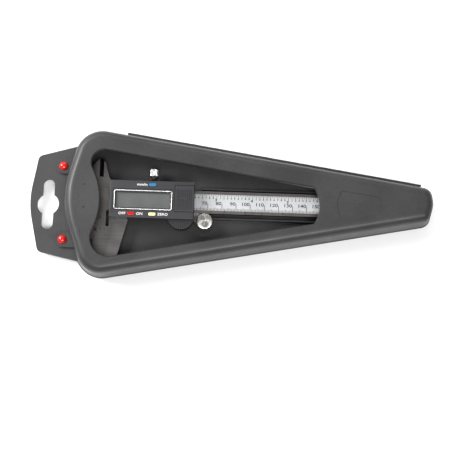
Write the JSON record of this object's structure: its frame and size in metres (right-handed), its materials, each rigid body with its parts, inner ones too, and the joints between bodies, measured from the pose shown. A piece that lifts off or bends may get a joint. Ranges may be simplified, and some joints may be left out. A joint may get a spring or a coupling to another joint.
{
  "type": "digital caliper in hanging case",
  "caption": "Digital caliper with sliding jaws and display, lying in a hinged black plastic hang-up case with an open window.",
  "frame": {"origin": "centre of the bounding box's underside, on the case's flat underside", "axes": "+X along the beam, from the hang tab to the case's nose; +Z out of the lid's window; +Y towards the hinge"},
  "size_m": [0.2858, 0.1059, 0.027],
  "materials": {
    "case_plastic": "grained black case plastic",
    "steel": "ground stainless steel",
    "screw_steel": "bright steel",
    "bright_trim": "bright turned or plated metal",
    "brass": "brass strip",
    "board": "green circuit board",
    "scale_print": "silver-white printed plate",
    "housing_plastic": "dark grey moulded plastic",
    "red_plastic": "glossy red plastic",
    "blue_plastic": "blue plastic",
    "cream_plastic": "cream plastic",
    "clear_lens": "clear plastic lens",
    "lcd_glass": "grey liquid crystal glass",
    "rubber": "silicone rubber"
  },
  "bodies": {
    "case": {"case_base": "case_plastic", "hinge_pin": "steel", "beam": "steel", "grid_strip": "board", "scale_plate": "scale_print", "end_stop": "steel", "end_stop_screws": "screw_steel"},
    "lid": {"case_lid": "case_plastic"},
    "rivet_upper": {"rivet_upper": "red_plastic"},
    "rivet_lower": {"rivet_lower": "red_plastic"},
    "slider": {"slider_frame": "steel", "gib_strip": "brass", "gib_screws": "screw_steel", "back_plate": "steel", "slider_screws": "screw_steel", "depth_rod": "steel", "housing": "housing_plastic", "display_frame": "bright_trim", "display_window": "clear_lens", "lcd_panel": "lcd_glass", "contact_strips": "rubber", "circuit_board": "board", "button_pads": "rubber", "battery": "screw_steel", "battery_contact": "brass", "roller_pin": "steel"},
    "battery_cover": {"battery_cover": "housing_plastic"},
    "port_cover": {"port_cover": "housing_plastic"},
    "thumb_roller": {"thumb_roller": "bright_trim"},
    "lock_screw": {"lock_screw": "bright_trim"},
    "button_mm_inch": {"button_mm_inch": "blue_plastic"},
    "button_on_off": {"button_on_off": "red_plastic"},
    "button_zero": {"button_zero": "cream_plastic"}
  },
  "joints": [
    {"name": "lid_hinge", "type": "hinge", "parent": "case", "child": "lid", "pos_m": [-0.07572, 0.0517, 0.008], "axis": [-0.989, 0.1481, 0], "range_deg": [0, 120]},
    {"name": "rivet_upper_pull", "type": "slide", "parent": "lid", "child": "rivet_upper", "axis": [0, 0, 1], "range_m": [0, 0.012]},
    {"name": "rivet_lower_pull", "type": "slide", "parent": "lid", "child": "rivet_lower", "axis": [0, 0, 1], "range_m": [0, 0.012]},
    {"name": "jaw_slide", "type": "slide", "parent": "case", "child": "slider", "axis": [1, 0, 0], "range_m": [0, 0.024]},
    {"name": "thumb_roller_turn", "type": "hinge", "parent": "slider", "child": "thumb_roller", "pos_m": [-0.01852, -0.01065, 0.0108], "axis": [0, 0, 1], "range_deg": [0, 240]},
    {"name": "lock_screw_turn", "type": "hinge", "parent": "slider", "child": "lock_screw", "pos_m": [-0.05522, 0.02125, 0.0103], "axis": [0, 1, 0], "range_deg": [-180, 0]},
    {"name": "battery_cover_slide", "type": "slide", "parent": "slider", "child": "battery_cover", "axis": [1, 0, 0], "range_m": [0, 0.018]},
    {"name": "port_cover_slide", "type": "slide", "parent": "slider", "child": "port_cover", "axis": [1, 0, 0], "range_m": [0, 0.013]},
    {"name": "button_mm_inch_press", "type": "slide", "parent": "slider", "child": "button_mm_inch", "axis": [0, 0, -1], "range_m": [0, 0.0006], "stiffness_N_per_m": 300},
    {"name": "button_on_off_press", "type": "slide", "parent": "slider", "child": "button_on_off", "axis": [0, 0, -1], "range_m": [0, 0.0006], "stiffness_N_per_m": 300},
    {"name": "button_zero_press", "type": "slide", "parent": "slider", "child": "button_zero", "axis": [0, 0, -1], "range_m": [0, 0.0006], "stiffness_N_per_m": 300}
  ],
  "couplings": [
    {"joint": "thumb_roller_turn", "follows": "jaw_slide", "rad_per_m": 172.41}
  ]
}
